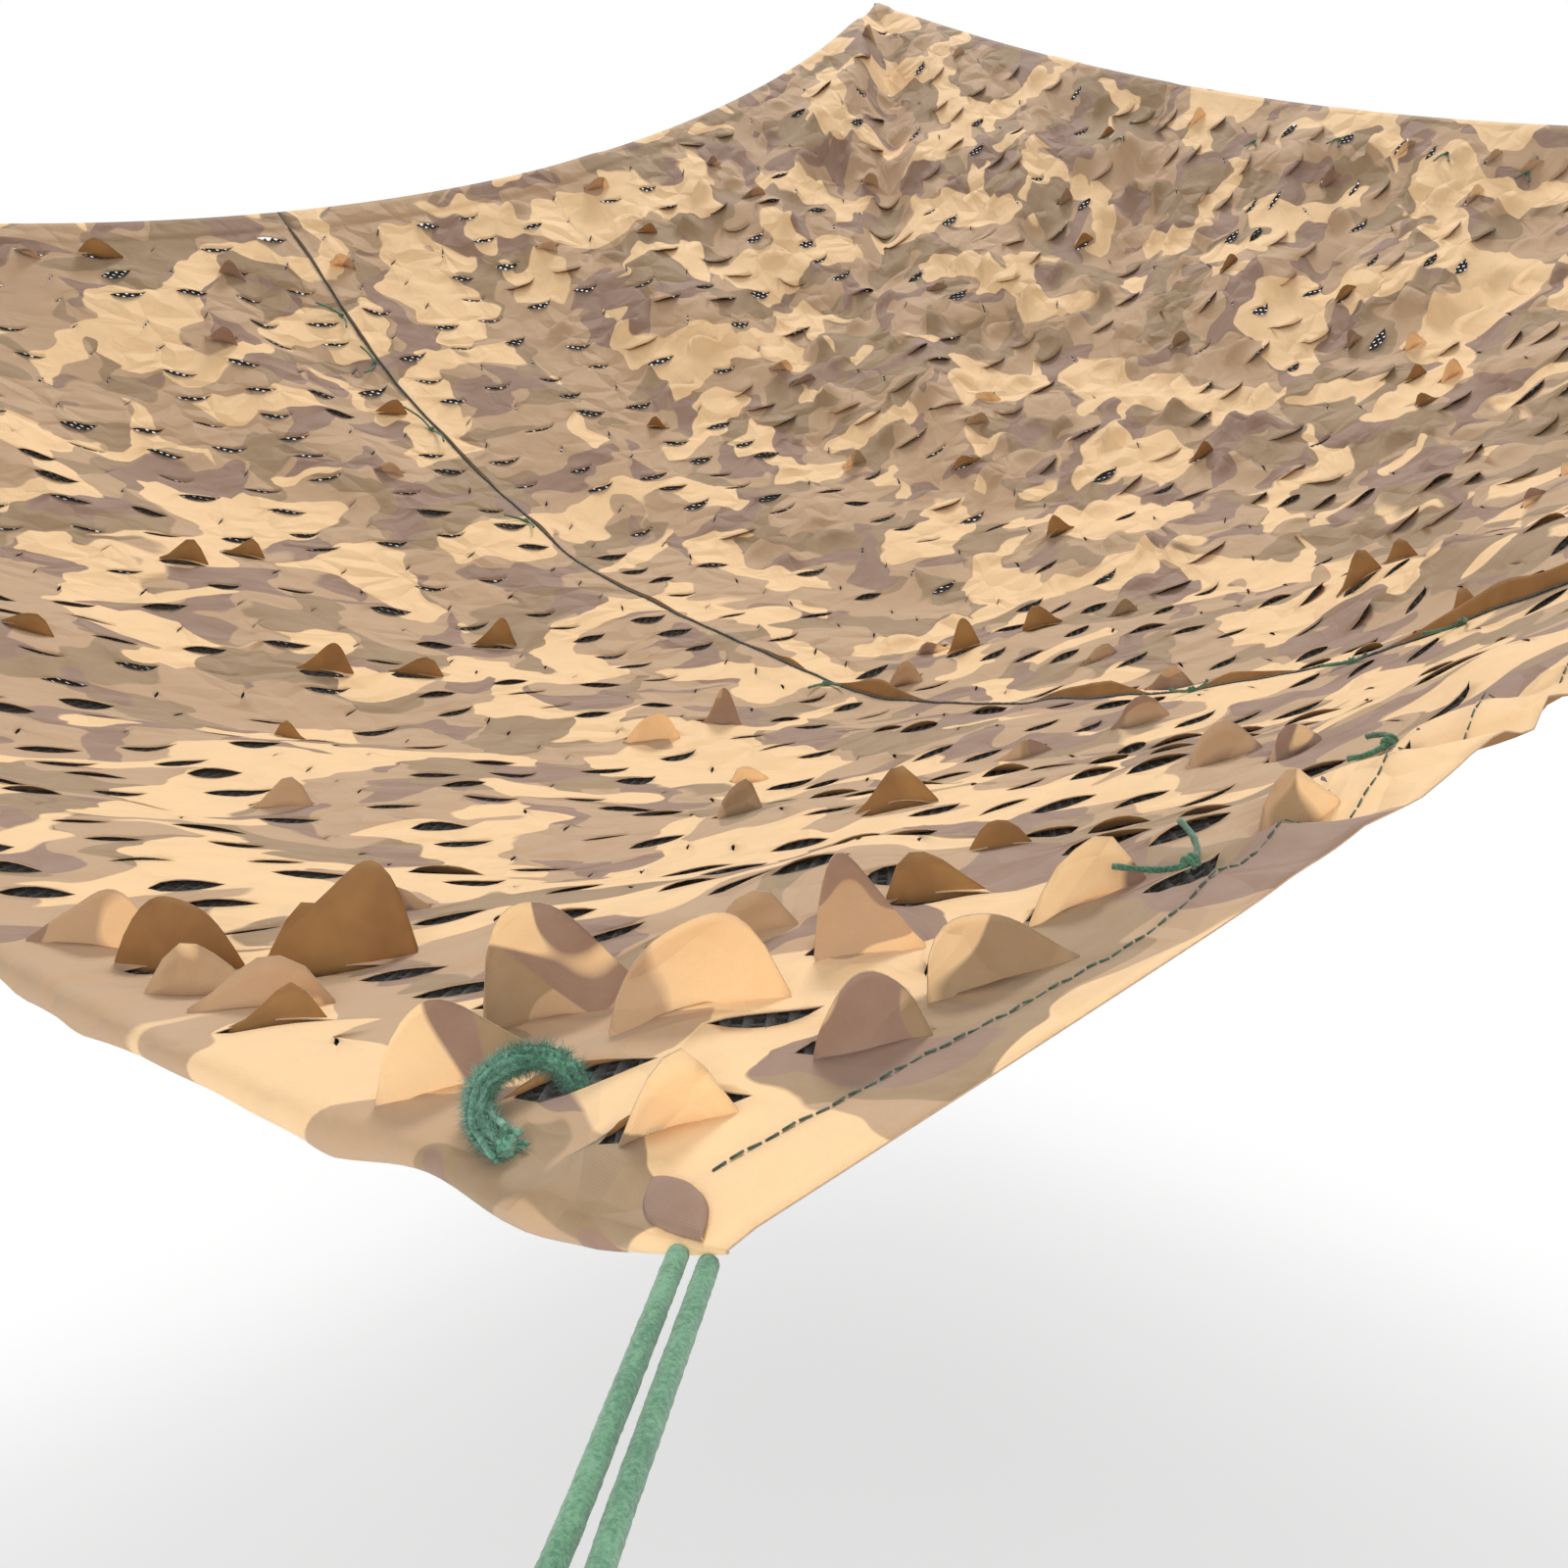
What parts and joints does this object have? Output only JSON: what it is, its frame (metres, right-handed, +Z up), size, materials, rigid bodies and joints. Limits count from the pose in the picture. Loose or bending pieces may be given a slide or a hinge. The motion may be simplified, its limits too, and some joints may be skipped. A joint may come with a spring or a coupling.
{
  "type": "shade netting",
  "caption": "Leaf-cut shade netting of sand, taupe and brown patterned cloth in sewn widths, hung and sagging from a green cord loop at each corner, with small green ties.",
  "frame": {"origin": "the far, high corner of the cloth, where its cord loop holds the net up", "axes": "+Z up, +X along the near right hem away from the near corner, +Y along the rolled left hem away from the near corner"},
  "size_m": [3.1605, 3.0747, 1.3143],
  "materials": {
    "patterned_cloth": "matte",
    "green_cord": "matte",
    "seam_cord": "matte"
  },
  "bodies": {
    "root": {"near_panel": "patterned_cloth", "far_panel": "patterned_cloth", "seam_cord": "seam_cord", "near_loop": "green_cord", "right_loop": "green_cord", "left_loop": "green_cord", "far_loop": "green_cord", "seam_tie_1": "green_cord", "seam_tie_2": "green_cord", "seam_tie_3": "green_cord", "seam_tie_4": "green_cord", "seam_tie_5": "green_cord", "seam_tie_6": "green_cord", "seam_tie_7": "green_cord", "seam_tie_8": "green_cord", "edge_tie_1": "green_cord", "edge_tie_2": "green_cord", "edge_tie_3": "green_cord", "edge_tie_4": "green_cord", "edge_tie_5": "green_cord", "hem_tie_1": "green_cord", "hem_tie_2": "green_cord", "near_tie": "green_cord"}
  },
  "joints": []
}
